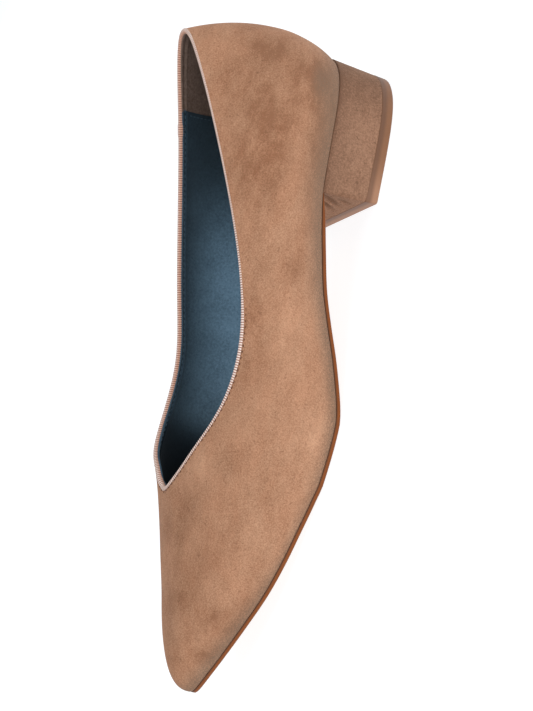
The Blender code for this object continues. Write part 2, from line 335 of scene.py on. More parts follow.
def brushedSuede(name, look):
    # microfibre suede, woven, buffed and brushed: matte, with a soft uneven nap that lies light and dark;
    # where its marks ask, painted light and shade in soft spots, painted grey shade beside a joint and
    # painted shade beside the tape
    material, where, add = newMaterial(name, {
        "Roughness": look["roughness"], "Specular IOR Level": 0.15, "Sheen Weight": look["sheen"],
        "Sheen Roughness": 0.45, "Sheen Tint": look["sheenTint"]})
    stroked = add("Mapping", {"Vector": where, "Scale": look["strokesAndShade"]})
    cloud = mottle(add, stroked, look["cloudMm"], 4.0, 0.34, 0.66)
    patch = mottle(add, stroked, look["patchMm"], 3.0, 0.36, 0.64)
    speck = mottle(add, where, look["grainMm"], 3.0, 0.36, 0.64)
    lay = look["middle"]
    if "napAndShadeMark" in look:  # painted light and shade in soft spots, partly uneven nap, ragged within
        paintedSpots = add("Attribute", attribute_name=look["napAndShadeMark"])
        ragged = mottle(add, stroked, look["raggedMm"], 4.0, 0.3, 0.7)
        ragged = add("Math", {0: ragged, 1: 1.2, 2: 0.4})
        lay = add("Math", {0: paintedSpots, 1: ragged, 2: lay})
    for tone, share in ((cloud, "cloud"), (patch, "patch"), (speck, "speck")):
        lay = add("Math", {0: tone, 1: look[share], 2: lay})
    colour = add("Mix", {0: lay, mixA: look["dark"], mixB: look["light"]})
    warm = mottle(add, stroked, look["warmMm"], 3.0, 0.35, 0.65)  # patches of a redder dye
    warm = add("Math", {0: warm, 1: look["warm"]}, operation="MULTIPLY")
    colour = add("Mix", {0: warm, mixA: colour, mixB: "#FFEDE4"}, blend_type="MULTIPLY")
    fleck = mottle(add, where, look["fleckMm"], 1.0, 0.66, 0.74)  # few small dark tufts
    fleck = add("Math", {0: fleck, 1: look["fleck"]}, operation="MULTIPLY")
    colour = add("Mix", {0: fleck, mixA: colour, mixB: look["deep"]})
    if "edgeShadeMark" in look:  # painted grey shade beside a joint: along the sole on the upper, below the seat on the heel
        near = add("Attribute", attribute_name=look["edgeShadeMark"])
        near = add("MapRange", {
            "Value": near, "From Max": look["edgeShadeMm"], "To Min": look["edgeShadeTint"], "To Max": 0.0},
            interpolation_type="SMOOTHSTEP")
        grain = add("Math", {0: speck, 1: -0.7, 2: 1.35})
        near = add("Math", {0: near, 1: grain}, operation="MULTIPLY")
        colour = add("Mix", {0: near, mixA: colour, mixB: look["edge"]})
    if "tapeShadeMark" in look:  # painted shade in the gap beside the tape
        near = add("Attribute", attribute_name=look["tapeShadeMark"])
        near = add("MapRange", {
            "Value": near, "From Min": look["tapeShadeMm"][0], "From Max": look["tapeShadeMm"][1],
            "To Min": look["tapeShadeTint"], "To Max": 0.0})
        colour = add("Mix", {0: near, mixA: colour, mixB: look["deep"]})
    fibre = add("TexNoise", {
        "Vector": where, "Scale": perMm(look["fibreMm"]), "Detail": 3.0, "Roughness": 0.7})
    nap = add("Bump", {"Height": fibre, "Strength": look["bump"], "Distance": 0.3 * mm})
    nap = add("Bump", {
        "Height": patch, "Strength": look["bump"] * 0.6, "Distance": 0.25 * mm, "Normal": nap})
    return dress(material, {"Base Color": colour, "Normal": nap})


def wrapGrid(points, closedAround=True, closedAcross=False, marks=None):
    # lays a grid over rows of places in mm; the faces look along (around x across)
    points = np.asarray(points)
    marks = {key: np.broadcast_to(value, points.shape[:2]) for key, value in (marks or {}).items()}
    if closedAround:
        points = np.concatenate([points, points[:, :1]], axis=1)
        marks = {key: np.concatenate([value, value[:, :1]], axis=1) for key, value in marks.items()}
    if closedAcross:
        points = np.concatenate([points, points[:1]], axis=0)
        marks = {key: np.concatenate([value, value[:1]], axis=0) for key, value in marks.items()}
    rows, columns = points.shape[:2]
    bm = bmesh.new()
    bm.loops.layers.uv.new("UVMap")
    layers = {key: bm.verts.layers.float.new(key) for key in marks}
    bmesh.ops.create_grid(bm, x_segments=columns - 1, y_segments=rows - 1, size=1.0, calc_uvs=True)
    for vert, spot in zip(bm.verts, place(points).reshape(-1, 3)):
        vert.co = spot
    for key, layer in layers.items():
        for vert, value in zip(bm.verts, marks[key].reshape(-1)):
            vert[layer] = value
    bmesh.ops.remove_doubles(bm, verts=bm.verts, dist=0.002 * mm)
    return bm


def addPiece(name, bm, material, slotName, *nodes, sharpAngle=None):
    mesh = bpy.data.meshes.new(name)
    bm.to_mesh(mesh)
    bm.free()
    mesh.shade_smooth()
    if sharpAngle is not None:
        mesh.set_sharp_from_angle(angle=math.radians(sharpAngle))
    mesh.materials.append(material)
    piece = addObject(name, mesh)
    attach(piece, "root")
    for cadNode in nodes:
        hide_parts(cadNode)
    print("made", name, len(mesh.polygons), "faces")
    return piece


def thicken(piece, thickness, offset):  # offset -1 grows behind the faces, 1 in front of them
    wall = piece.modifiers.new("wall", "SOLIDIFY")
    wall.thickness = thickness * mm
    wall.offset = offset
    wall.use_even_offset = True
    wall.use_rim = True


def troughs(points, normals, centres, table, through=12.0):
    # soft troughs (depth below 0) and ridges, each with its own length and width on the surface;
    # through is how far in mm they reach through the piece
    push = np.zeros(points.shape[:-1])
    for name, (long, wide, deep, turn) in table.items():
        spot, alongWay, climbWay, outWay = centres[name]
        c, s = math.cos(math.radians(turn)), math.sin(math.radians(turn))
        off = points - spot
        a = off @ (alongWay * c + climbWay * s)
        b = off @ (climbWay * c - alongWay * s)
        push += deep * bell(a, long) * bell(b, wide) * bell(off @ outWay, through)
    return points + normals * push[..., None]


def sewRow(name, spots, ways, faces, thread, material, slotName):
    # one row of stitches, each a thin grain of thread that lies on the surface
    bm = bmesh.new()
    half, thin = thread["long"] * mm / 2, thread["thick"] * mm / 2
    for spot, way, face in zip(place(spots), unit(ways), unit(faces)):
        side = np.cross(face, way)
        turn = Matrix((way * half, side * thin, face * thin)).transposed().to_4x4()
        turn.translation = spot
        bmesh.ops.create_uvsphere(bm, u_segments=6, v_segments=5, radius=1.0, matrix=turn)
    return addPiece(name, bm, material, slotName)


def sewAlong(name, index, up, at, side, face, thread, material):
    # stitches along a line on the wall; side is 1 on its outer face and -1 on its inner one
    normals = wallNormals(index, up)
    spots = pathAt(wallPoints(index, up) - normals * face, at)
    faces = unit(pathAt(normals, at)) * side
    sewRow(name, spots, np.gradient(spots, axis=0), faces, thread, material, "suede")


def threadMaterial(name, colour, shade):
    # twisted polyester sewing thread: a low sheen, strands that turn light and dark
    material, where, add = newMaterial(name, {"Roughness": 0.6, "Specular IOR Level": 0.3})
    strand = add("TexNoise", {"Vector": where, "Scale": perMm(0.5), "Detail": 1.0})
    mixed = add("Mix", {0: strand, mixA: shade, mixB: colour})
    return dress(material, {"Base Color": mixed})


# the suede skin of the upper
upper = {
    "stepsPerRib": 18,
    "rows": 56,
    "fineRows": 7,  # over the lowest part, for the turned edge
    "fineShare": 0.035,
    "skin": 0.9,  # thickness of the suede itself; the lining makes up the rest of the wall
    "curl": 0.6,  # height over which the lower edge turns in
    "curlDepth": 0.18,
    "skirt": 0.26,  # the wrapped edge goes on down to the sole
    "thinEdgeShade": (195.0, 38.0, 3.0),  # x, half length and height in mm by which the painted grey shade along the sole is lower beside the ball
    "edgeShadeBack": (112.0, 12.0, 0.4),  # x and softness in mm; behind it the painted grey shade along the sole reaches higher by that share
    "edgeShadePatches": {"counter": (26, 36, 9, 6, -4.5)},  # as the spots of painted light and shade, with mm by which the painted grey shade along the sole climbs
    "quarter": (6.5, 17.5, 0.15),  # ribs between which the suede covers more of the tape, and how softly
    "quarterRise": 0.5,  # mm
    "seamSteps": (0.25, 0.5, 0.8, 1.2),  # mm beside the seam at the back
    "seamWidth": 0.45,
    "seamDepth": 0.35,
    "creaseSpots": {  # rib, share of the way up
        "tipPleat": (0.75, 0.10), "toePleat": (1.25, 0.11), "toeFold": (1.7, 0.10),
        "innerPleat": (23.2, 0.11), "vampHollow": (22.6, 0.62), "outerHollow": (7.3, 0.45),
        "counterRidge": (10.4, 0.42),
    },
    "creases": {  # length, width, depth in mm, turn in degrees from the line round the shoe
        "tipPleat": (3.5, 1.1, -0.22, 80), "toePleat": (4.5, 1.2, -0.28, 75),
        "toeFold": (5.0, 1.4, 0.20, 70), "innerPleat": (4.0, 1.2, -0.22, 100),
        "vampHollow": (26.0, 6.0, -0.35, 8), "outerHollow": (22.0, 6.0, -0.30, 5),
        "counterRidge": (20.0, 5.0, 0.25, 0),
    },
    "sides": (-4.0, 3.0),  # y and softness in mm of the change from inner to outer spots of painted light and shade
    "outerLightAndShade": {  # painted light and shade, partly uneven nap: x, z, half length, half height in mm, change of tone
        "quarterShade": (44, 50, 36, 17, -0.31), "quarterDark": (62, 52, 19, 10, -0.22),
        "backDark": (19, 56, 5, 7, -0.42), "backLight": (30, 50, 13, 3.5, 0.15),
        "counterDark": (27, 36, 10, 8, -0.50), "stripeLight": (54, 40, 17, 3.5, 0.18),
        "lowDark": (48, 29, 40, 5.5, -0.25), "topLight": (22, 86, 10, 5, 0.16),
        "topDark": (38, 71, 9, 4.5, -0.24), "waistDark": (106, 31, 5, 4.5, -0.18),
        "waistLight": (124, 29, 14, 5, 0.16), "collarDark": (122, 42, 16, 4, -0.30),
        "jointDark": (143, 35, 9, 5, -0.24), "soleLight": (164, 8, 7, 4.5, 0.28),
        "throatLight": (183, 41, 7, 3, 0.30), "vampDark": (180, 33, 6, 4, -0.12),
        "ballDark": (190, 19, 6, 4.5, -0.16), "ballGlow": (165, 25, 40, 14, 0.12),
        "ridgeDark": (207, 39, 6, 3, -0.32), "ridgeLight": (218, 39, 4, 1.5, 0.25),
        "toeDark": (229, 32, 8, 3, -0.28), "sideDark": (234, 22, 3, 2.5, -0.30),
        "leftDark": (219, 38, 4, 2.5, -0.18), "vampSpot": (214, 31, 5, 4, -0.12),
        "toeLight": (222, 16, 12, 5, 0.12), "toeShade": (248, 24, 14, 14, -0.16),
        "pleatDark": (248, 18, 2.2, 3.5, -0.40), "pleatLight": (254, 15, 3, 2, 0.30),
        "throatDark": (200, 41, 9, 3.5, -0.26), "toeEdge": (234, 14, 20, 5, -0.25),
    },
    # painted light and shade on the inner side, partly uneven nap
    "innerLightAndShade": {
        "quarterDark": (46, 50, 26, 14, -0.30), "stripeLight": (60, 38, 15, 4, 0.20),
        "lowDark": (52, 28, 20, 4, -0.30), "waistDark": (112, 34, 10, 6, -0.20),
        "ballLight": (175, 24, 12, 6, 0.15), "toeDark": (228, 30, 8, 4, -0.30),
        "tipDark": (248, 18, 3, 4, -0.30), "vampDark": (205, 36, 9, 5, -0.20),
    },
    "look": {
        "dark": "#8A6249", "light": "#C4987A", "deep": "#6A4632", "roughness": 0.95, "sheen": 0.22,
        "sheenTint": "#F0C8B0", "strokesAndShade": (0.6, 1.0, 1.3), "fibreMm": 0.8, "bump": 0.8,
        "cloudMm": 20.0, "patchMm": 5.0, "grainMm": 0.5, "fleckMm": 1.6, "warmMm": 9.0, "raggedMm": 6.0,
        "middle": 0.07, "cloud": 0.20, "patch": 0.10, "speck": 0.50, "fleck": 0.35, "warm": 0.32,
        # the edge colour is painted grey shade along the sole, laid by the climb mark
        "napAndShadeMark": "lay", "edge": "#776150", "edgeShadeMark": "climb", "edgeShadeMm": 8.5, "edgeShadeTint": 0.8,
        # painted shade beside the tape, in the deep colour, laid by the drop mark
        "tapeShadeMark": "drop", "tapeShadeMm": (0.35, 0.9), "tapeShadeTint": 0.5,
    },
}


def wallColumns():  # places round the upper, closer together beside the seam at the back
    back = ribNames.index("back")
    beside = np.array(upper["seamSteps"]) / ribLength(back, 0.5)
    even = np.arange(0, ribCount, 1 / upper["stepsPerRib"])
    return np.unique(np.concatenate([even, back + beside, back - beside]).round(5))


def wallSteps():  # shares of the way up
    fine = upper["fineShare"]
    return np.unique(np.append(np.linspace(0, fine, upper["fineRows"]), np.linspace(fine, 1, upper["rows"])))


def lightAndShadeSpots(points, outerTable, innerTable):  # soft spots by x and z on each side: painted light and shade, partly uneven nap; also used to move the painted grey shade along the sole
    lay = np.zeros(points.shape[:-1])
    x, y, z = np.moveaxis(points, -1, 0)
    middle, soft = upper["sides"]
    for table, side in ((outerTable, 1), (innerTable, -1)):
        onSide = softStep(side * y, side * middle, soft)
        for atX, atZ, long, high, tone in table.values():
            lay += tone * bell(x - atX, long) * bell(z - atZ, high) * onSide
    return lay


def makeUpper():
    index, up = wallColumns(), wallSteps()[:, None]
    points, normals = wallPoints(index, up), wallNormals(index, up)
    rows = np.linalg.norm(np.diff(points, axis=0), axis=2)
    climb = np.concatenate([np.zeros((1, len(index))), np.cumsum(rows, axis=0)])
    below = np.clip(1 - climb / upper["curl"], 0, 1)
    push = -upper["curlDepth"] * (1 - np.sqrt(1 - below**2))
    seam = wallPoints(np.array([float(ribNames.index("back"))]), up)
    push -= upper["seamDepth"] * bell(np.linalg.norm(points - seam, axis=2), upper["seamWidth"])
    points = points + normals * push[..., None]
    centres = {}
    for name, (rib, share) in upper["creaseSpots"].items():
        at = np.array([rib, rib + 0.01])
        spot, beside = wallPoints(at, share)
        alongWay, outWay = unit(beside - spot), wallNormals(at, share)[0]
        centres[name] = (spot, alongWay, np.cross(outWay, alongWay), outWay)
    points = troughs(points, normals, centres, upper["creases"])
    raised = upper["quarterRise"] * between(index, upper["quarter"])
    drop = climb[-1] - climb + 2 * raised
    rising = unit(points[-1] - points[-2]) * raised[:, None]
    skirt = points[:1] - upper["skirt"] * axes[2]
    points = np.concatenate([skirt, points, [points[-1] + rising * s for s in (0.5, 1.0)]])
    climb, drop = (np.concatenate([row[:1], row, row[-1:], row[-1:]]) for row in (climb, drop))
    x = points[..., 0]
    # painted grey shade along the sole: lower beside the ball, higher towards the back and at the counter
    ballX, ballLong, lessShade = upper["thinEdgeShade"]
    shadeX, shadeSoft, higher = upper["edgeShadeBack"]
    climb = climb * (1 - higher * softStep(shadeX, x, shadeSoft)) + lessShade * bell(x - ballX, ballLong)
    climb = climb + lightAndShadeSpots(points, upper["edgeShadePatches"], {})
    # painted light and shade in soft spots, partly uneven nap
    lay = lightAndShadeSpots(points, upper["outerLightAndShade"], upper["innerLightAndShade"])
    bm = wrapGrid(points, marks={"climb": climb, "drop": drop, "lay": lay})
    suede = brushedSuede("brushedMicrofibreSuede", upper["look"])
    thicken(addPiece("upperSuede", bm, suede, "suede", "upper"), upper["skin"], -1)


makeUpper()

# lining in front of the heel grip, and the grip that it overlaps
lining = {
    "stepsPerRib": 10,
    "face": 1.8,  # depth of the lining's face below the suede's face
    "thick": 0.8,
    "gripFace": 1.4,
    "gripThick": 0.4,
    "outerSeam": 9.55,  # in ribs from the toe
    "innerSeam": 14.345,
    "seamLean": 0.235,  # ribs by which the inner seam comes forward on its way up
    "leanFrom": 0.5,  # share of the way up
    "leanOver": 1.5,  # ribs beside the seam
    "overlap": 0.28,  # ribs by which the grip goes on behind the lining
    "gripShade": 0.10,  # how light the lining is painted, with painted shade and painted light: beside the grip, in the toe, and along the middle of the shoe
    "toeBoxShade": 0.004,
    "toplineShade": 0.12,
    "lowWallLight": 0.66,
    "deepMm": (4.0, 27.0),  # below the topline, between those two
    "deepPower": 1.3,
    "lightFrom": (72.0, 9.0),  # x and softness in mm
    "lightTo": (158.0, 3.5),
    "rows": 24,
    "lowest": 0.01,  # share of the way up
    "gripColumns": 60,
    "drops": (7.0, 5.6, 4.6, 4.0, 3.6, 3.3, 3.0, 2.7, 2.4, 2.0, 1.4, 1.0, 0.6, 0.2),  # mm below the topline
    "roll": 0.3,  # depth of the turned strip along the topline
    "lip": 2.25,  # depth of its edge, which comes forward over the tape
    "lipDrop": (0.4, 1.6),
    "lipRise": (0.65, 1.25),  # over the topline: along the quarter and beside the throat
    "lipThroat": (18.8, 24.4, 0.3),  # ribs between which it is high, and how softly
    "lipRows": ((0.35, 2.25), (0.75, 2.15), (1.0, 1.55)),  # share of that rise, depth
    # painted light on the lining's edge over the tape
    "lipLight": 0.22,
    "foldDrop": 3.0,
    "foldDepth": 0.45,
    "foldWide": 0.5,
    "topStitchDrop": 1.9,
    "topStitch": {"long": 1.7, "thick": 0.35, "pitch": 2.4},
    "seamStitchUp": (0.25, 0.93),  # shares of the way up
    "seamStitchIn": 1.6,  # mm from the lining's edge
    "seamStitch": {"long": 1.7, "thick": 0.38, "pitch": 2.3},
}


def microsuede(name, look):
    # lining microsuede, knitted and sanded: soft fine nap with a slight pale sheen
    material, where, add = newMaterial(name, {
        "Roughness": 0.9, "Specular IOR Level": 0.15, "Sheen Weight": look["sheen"],
        "Sheen Roughness": 0.4, "Sheen Tint": look["sheenTint"]})
    cloud = add("TexNoise", {
        "Vector": where, "Scale": perMm(12.0), "Detail": 3.0, "Roughness": 0.6})
    fibre = add("TexNoise", {
        "Vector": where, "Scale": perMm(0.9), "Detail": 3.0, "Roughness": 0.75})
    lay = add("Math", {0: cloud, 1: 0.5, 2: fibre})
    lay = add("MapRange", {"Value": lay, "From Min": 0.45, "From Max": 1.05})
    # painted light and shade from the lining's tone mark
    if "lightAndShadeMark" in look:
        tone = add("Attribute", attribute_name=look["lightAndShadeMark"])
        lay = add("Math", {0: lay, 1: 0.8, 2: 0.6})
        lay = add("Math", {0: lay, 1: tone}, operation="MULTIPLY")
    colour = add("Mix", {0: lay, mixA: look["dark"], mixB: look["light"]})
    nap = add("Bump", {"Height": fibre, "Strength": 0.4, "Distance": 0.25 * mm})
    return dress(material, {"Base Color": colour, "Normal": nap})


def innerWall(index, up, face):
    return wallPoints(index, up) - wallNormals(index, up) * face


def topRows(index, face):  # shares of the way up, per column: even below, then at set drops from the topline
    drops = np.array(lining["drops"])[:, None]
    step = upPerMm(index)
    strip = 1 - drops * step
    lipLow, lipHigh = lining["lipRise"]
    rise = lipLow + (lipHigh - lipLow) * between(index, lining["lipThroat"])
    edge = np.array([1 + share * rise * step for share, _ in lining["lipRows"]])
    edgeDepth = np.array([[deep] for _, deep in lining["lipRows"]])
    lowest = lining["lowest"]
    field = np.linspace(0, 1, lining["rows"])[:-1, None] * (strip[0] - lowest) + lowest
    fold, wide = lining["foldDrop"], lining["foldWide"]
    lipEnd, lipStart = lining["lipDrop"]
    depth = face + lining["foldDepth"] * bell(drops - fold, wide)
    depth -= lining["roll"] * np.clip((fold - drops) / wide, 0, 1)
    depth += (lining["lip"] - depth) * np.clip((lipStart - drops) / (lipStart - lipEnd), 0, 1)
    fieldDepth = np.full((len(field), 1), face)
    return np.concatenate([field, strip, edge]), np.concatenate([fieldDepth, depth, edgeDepth])


def liningLightAndShade(points):  # painted light and shade on the lining, from the topline down and along the shoe
    x = points[..., 0]
    run = np.cumsum(np.linalg.norm(np.diff(points, axis=0), axis=2)[::-1], axis=0)[::-1]
    drop = np.concatenate([run, run[-1:] * 0])
    shallow, deep = lining["deepMm"]
    toeX, toeSoft = lining["lightTo"]
    pastGrip, beforeToe = softStep(x, *lining["lightFrom"]), softStep(toeX, x, toeSoft)
    share = np.clip((drop - shallow) / (deep - shallow), 0, 1) ** lining["deepPower"]
    light = lining["toplineShade"] + (lining["lowWallLight"] - lining["toplineShade"]) * share
    ends = lining["toeBoxShade"] + (lining["gripShade"] - lining["toeBoxShade"]) * beforeToe
    tone = ends + (light - ends) * pastGrip * beforeToe
    tone[-len(lining["lipRows"]) - 1:] = lining["lipLight"]
    return tone


def seamLean(up):  # ribs by which the inner seam has come forward
    start = lining["leanFrom"]
    return lining["seamLean"] * np.clip((up - start) / (1 - start), 0, 1)


def makeLining():
    # blue lining: painted light and shade by its tone mark, down to nearly black in the toe box
    blue = microsuede("liningMicrosuede", {
        "dark": "#0B151D", "light": "#82A8C4", "sheen": 0.15, "sheenTint": "#B9CCD8", "lightAndShadeMark": "tone"})
    brown = microsuede("gripMicrosuede", {
        "dark": "#52443C", "light": "#867268", "sheen": 0.2, "sheenTint": "#C8B8AA"})
    face, seam, outerSeam = lining["face"], lining["innerSeam"], lining["outerSeam"]
    end = outerSeam + ribCount
    index = np.linspace(seam, end, int((end - seam) * lining["stepsPerRib"]))
    up, depth = topRows(index, face)
    nearSeam = np.clip(1 - (index - seam) / lining["leanOver"], 0, 1)
    points = innerWall(index + nearSeam * seamLean(up), up, depth[..., None])
    front = wrapGrid(points, closedAround=False, marks={"tone": liningLightAndShade(points)})
    thicken(addPiece("lining", front, blue, "suede"), lining["thick"], 1)
    index = np.linspace(outerSeam - lining["overlap"], seam + lining["overlap"], lining["gripColumns"])
    up, depth = topRows(index, lining["gripFace"])
    points = innerWall(np.broadcast_to(index, up.shape), up, depth[..., None])
    grip = wrapGrid(points, closedAround=False)
    thicken(addPiece("heelGrip", grip, brown, "suede"), lining["gripThick"], 1)

    blueThread = threadMaterial("liningThread", "#4E687B", "#2C4251")
    around = np.linspace(seam + lining["seamLean"], end, 900)
    up = 1 - lining["topStitchDrop"] * upPerMm(around)
    at = evenly(innerWall(around, up, face), lining["topStitch"]["pitch"])
    sewAlong("liningTopStitch", around, up, at, -1, face, lining["topStitch"], blueThread)
    up = np.linspace(*lining["seamStitchUp"], 300)
    inside = lining["seamStitchIn"]
    for name, around in (("gripStitchInner", seam + inside / ribLength(seam, 0.7) + seamLean(up)),
                         ("gripStitchOuter", outerSeam - inside / ribLength(outerSeam, 0.7) + 0 * up)):
        at = evenly(innerWall(around, up, face), lining["seamStitch"]["pitch"])
        sewAlong(name, around, up, at, -1, face, lining["seamStitch"], blueThread)


makeLining()

# folded ribbed tape over the topline
binding = {
    "ribPitch": 0.94,
    "stepsPerRib": 4,
    "halfWidth": 1.1,
    "height": 1.2,  # over the edge of the wall
    "shoulder": 0.35,  # height at which the fold starts to turn over
    "lap": 0.4,  # below the edge, on both sides
    "suedeLap": 0.2,  # over the raised edge of the suede
    "fold": 0.3,  # thickness of the tape
    "bed": 0.15,  # height of the fold's inside over the edge
    "squareness": 0.8,  # power that shapes the dome; 1 is round
    "ribDepth": 0.17,
    "ribFade": 0.15,  # of the ribs' contrast, towards the foot
    "insideTint": 0.4,
    "joinAt": 14.9,  # ribs from the toe, where the tape's ends overlap
    "joinLong": 5.0,
    "joinRise": 0.22,
    "joinSoft": 0.25,
    "domeSteps": 11,
    "stitchDrop": 0.85,  # below the topline, on the suede
    "stitch": {"long": 1.2, "thick": 0.42, "pitch": 2.3},
    "sunk": 0.32,  # how far the nap buries the stitches along the quarter
    "proud": 0.02,  # and how far they stand out elsewhere
}


def grosgrain():
    # woven grosgrain tape: thick crosswise ribs, pale on their crests, with painted shade in the grooves
    material, where, add = newMaterial("grosgrainTape", {
        "Roughness": 0.75, "Specular IOR Level": 0.3, "Sheen Weight": 0.15, "Sheen Roughness": 0.4})
    crest = add("Attribute", attribute_name="crest")
    yarn = add("TexNoise", {"Vector": where, "Scale": perMm(0.45), "Detail": 2.0})
    pale = add("Mix", {0: yarn, mixA: "#F0DCD0", mixB: "#FFF6EE"})
    colour = add("Mix", {0: crest, mixA: "#8C4B33", mixB: pale})
    footSide = add("Attribute", attribute_name="footSide")
    colour = add("Mix", {  # painted shade where it turns to the foot
        0: footSide, mixA: colour, mixB: "#EFD3C3"}, blend_type="MULTIPLY")
    weave = add("Bump", {"Height": yarn, "Strength": 0.3, "Distance": 0.1 * mm})
    return dress(material, {"Base Color": colour, "Normal": weave})


def makeBinding():
    wide, shoulder, bed = binding["halfWidth"], binding["shoulder"], binding["bed"]
    low, inside = -binding["lap"], wide - binding["fold"]
    dense = np.linspace(0, ribCount, 4801)  # 200 to a rib
    path = ribHandles(dense)[3]
    length = np.linalg.norm(np.diff(path, axis=0), axis=1).sum()
    ribs = int(length / binding["ribPitch"])
    at = evenly(path, length / (ribs * binding["stepsPerRib"]))[:-1]
    index = np.interp(at, np.arange(len(dense)), dense)
    _, _, higher, top = ribHandles(index)
    along = unit(np.roll(top, -1, axis=0) - np.roll(top, 1, axis=0))
    rising = top - higher
    rising = unit(rising - along * (rising * along).sum(axis=1)[:, None])
    outward = np.cross(along, rising)
    section = [(wide, low)]
    for a in np.linspace(0, math.pi, binding["domeSteps"]):
        across = math.copysign(abs(math.cos(a)) ** binding["squareness"], math.cos(a))
        section.append((wide * across, shoulder + (binding["height"] - shoulder) * math.sin(a)))
    section.append((-wide, low))
    outerCount = len(section)
    section = np.array(section + [(-inside, low), (-inside, bed), (inside, bed), (inside, low)])
    outer = np.arange(len(section)) < outerCount
    crest = np.abs(np.sin(math.pi * (np.arange(len(index)) / binding["stepsPerRib"])))
    join = np.linalg.norm(top - ribHandles(np.array([binding["joinAt"]]))[3], axis=1)
    swell = binding["joinRise"] * softStep(binding["joinLong"] / 2, join, binding["joinSoft"])
    lifts = np.zeros(len(section))  # the lap and the fold over the raised edge of the suede
    lifts[[0, -1]] = upper["quarterRise"] + binding["lap"] - binding["suedeLap"]
    lifts[-2] = upper["quarterRise"]
    quarter = between(index, upper["quarter"])
    rings = []
    for (across, over), ribbed, raised in zip(section, outer, lifts):
        change = ribbed * (binding["ribDepth"] * (crest - 1) + swell) / math.hypot(across, over)
        side = across * (1 + change) - last["wall"] / 2
        lift = over * (1 + change) + raised * quarter
        rings.append(top + outward * side[:, None] + rising * lift[:, None])
    # painted shade on the foot side of the tape, where the painted shade of the grooves fades
    footSide = np.clip(0.5 - 1.5 * section[:, 0] / wide, 0, 1)[:, None]
    faded = binding["ribFade"] * footSide
    tint = crest ** 2 * (1 - faded) + 0.5 * faded
    marks = {"crest": np.where(outer[:, None], tint, binding["insideTint"]), "footSide": footSide}
    bm = wrapGrid(rings, closedAcross=True, marks=marks)
    addPiece("ribbedBinding", bm, grosgrain(), "ribbed_tape", "topline_binding")

    around = np.linspace(0, ribCount, 2400)
    up = 1 - binding["stitchDrop"] * upPerMm(around)
    at = evenly(wallPoints(around, up), binding["stitch"]["pitch"])[:-1]
    brownThread = threadMaterial("bindingThread", "#6B422E", "#452A1C")
    sunk = binding["sunk"] * between(around, upper["quarter"]) - binding["proud"]
    sewAlong("bindingStitch", around, up, at, 1, sunk[:, None], binding["stitch"], brownThread)


makeBinding()


def eased(start, end, count):  # stations close together at both ends
    return start + (end - start) * (1 - np.cos(np.linspace(0, math.pi, count))) / 2


def plate(profile, inset, stations=150, pull=(22.0, 20.0)):
    # a flat bent piece inside the outline; profile rows: distance in from the edge, share of the way from
    # there to the middle line, height over the seat; from the middle underneath to the middle on top
    outline = soleOutline(inset)
    x = eased(outline[:, 0].min() + 0.02, outline[:, 0].max() - 0.02, stations)
    inner, outer = widths(outline, x)
    edge = np.concatenate([np.stack([x, outer], axis=1)[::-1], np.stack([x, inner], axis=1)])
    middleX = np.interp(x, x[[0, -1]], [x[0] + pull[0], x[-1] - pull[1]])
    middle = np.stack([middleX, sum(widths(outline, middleX)) / 2], axis=1)
    inward = np.concatenate([middle[::-1], middle]) - edge
    reach = np.linalg.norm(inward, axis=1)
    along = unit(np.roll(edge, -1, axis=0) - np.roll(edge, 1, axis=0))
    facing = np.clip((unit(inward) * np.stack([-along[:, 1], along[:, 0]], axis=1)).sum(axis=1), 0.35, 1)
    rings = []
    for depth, share, height in profile:
        step = np.minimum(depth / facing, reach)
        step = step + share * (reach - step)
        plan = edge + unit(inward) * step[:, None]
        rings.append(np.column_stack([plan, seat(plan[:, 0]) + height]))
    return np.array(rings)


def roundEdge(radius, low, high, lowRadius=0.0, steps=5):
    # rows of a plate's edge from the underside to the top, rounded below and above
    rows = []
    for a in np.linspace(0, math.pi / 2, steps if lowRadius else 1):
        rows.append((lowRadius * (1 - math.sin(a)), 0.0, low + lowRadius * (1 - math.cos(a))))
    for a in np.linspace(0, math.pi / 2, steps):
        rows.append((radius * (1 - math.cos(a)), 0.0, high - radius * (1 - math.sin(a))))
    return rows


# suede-wrapped board and the leather-like sock on it
insole = {
    "boardInset": 2.4, "boardLow": 0.3, "boardHigh": 3.3, "boardRound": 1.3,
    "sockInset": 6.1, "sockLow": 3.6, "sockHigh": 4.6, "sockRound": 0.6,
    "stitchIn": 5.4,  # from the sock's edge
    "channel": 0.22,  # depth of the sewn channel
    "channelWide": 0.7,
    "channelRise": 6.0,  # length of the slope
    "pad": 0.5,  # soft rise of the sock inside the channel
    "stitch": {"long": 2.2, "thick": 0.5, "pitch": 3.3},
    "stitchEndX": 214.0,
    "wrinkleSpots": {  # x, y
        "ballFold": (158.0, 24.0), "ballCrease": (152.0, 22.0), "jointCrease": (166.0, 23.0),
        "toeFold": (205.0, -4.0),
    },
    "wrinkles": {  # length, width, depth in mm, turn in degrees from the shoe's length
        "ballFold": (7.0, 1.4, 0.30, 60), "ballCrease": (6.0, 1.1, -0.30, 65),
        "jointCrease": (6.0, 1.2, -0.25, 50), "toeFold": (12.0, 2.4, 0.30, 85),
    },
}


def sockLeather():
    # smooth PU-coated sock: fine pebbled grain, soft gloss, slightly uneven tone
    material, where, add = newMaterial("smoothSockLeather", {
        "Roughness": 0.42, "IOR": 1.48, "Specular IOR Level": 0.45, "Coat Weight": 0.08,
        "Coat Roughness": 0.35})
    tone = mottle(add, where, 25.0, 3.0, 0.35, 0.65, rough=0.55)
    colour = add("Mix", {0: tone, mixA: "#DDBC9B", mixB: "#EBCFB3"})
    pebble = add("TexVoronoi", {"Vector": where, "Scale": perMm(0.9)})
    crease = add("TexNoise", {"Vector": where, "Scale": perMm(3.5), "Detail": 4.0})
    grain = add("Bump", {"Height": pebble, "Strength": 0.18, "Distance": 0.12 * mm})
    grain = add("Bump", {"Height": crease, "Strength": 0.2, "Distance": 0.3 * mm, "Normal": grain})
    return dress(material, {"Base Color": colour, "Normal": grain})


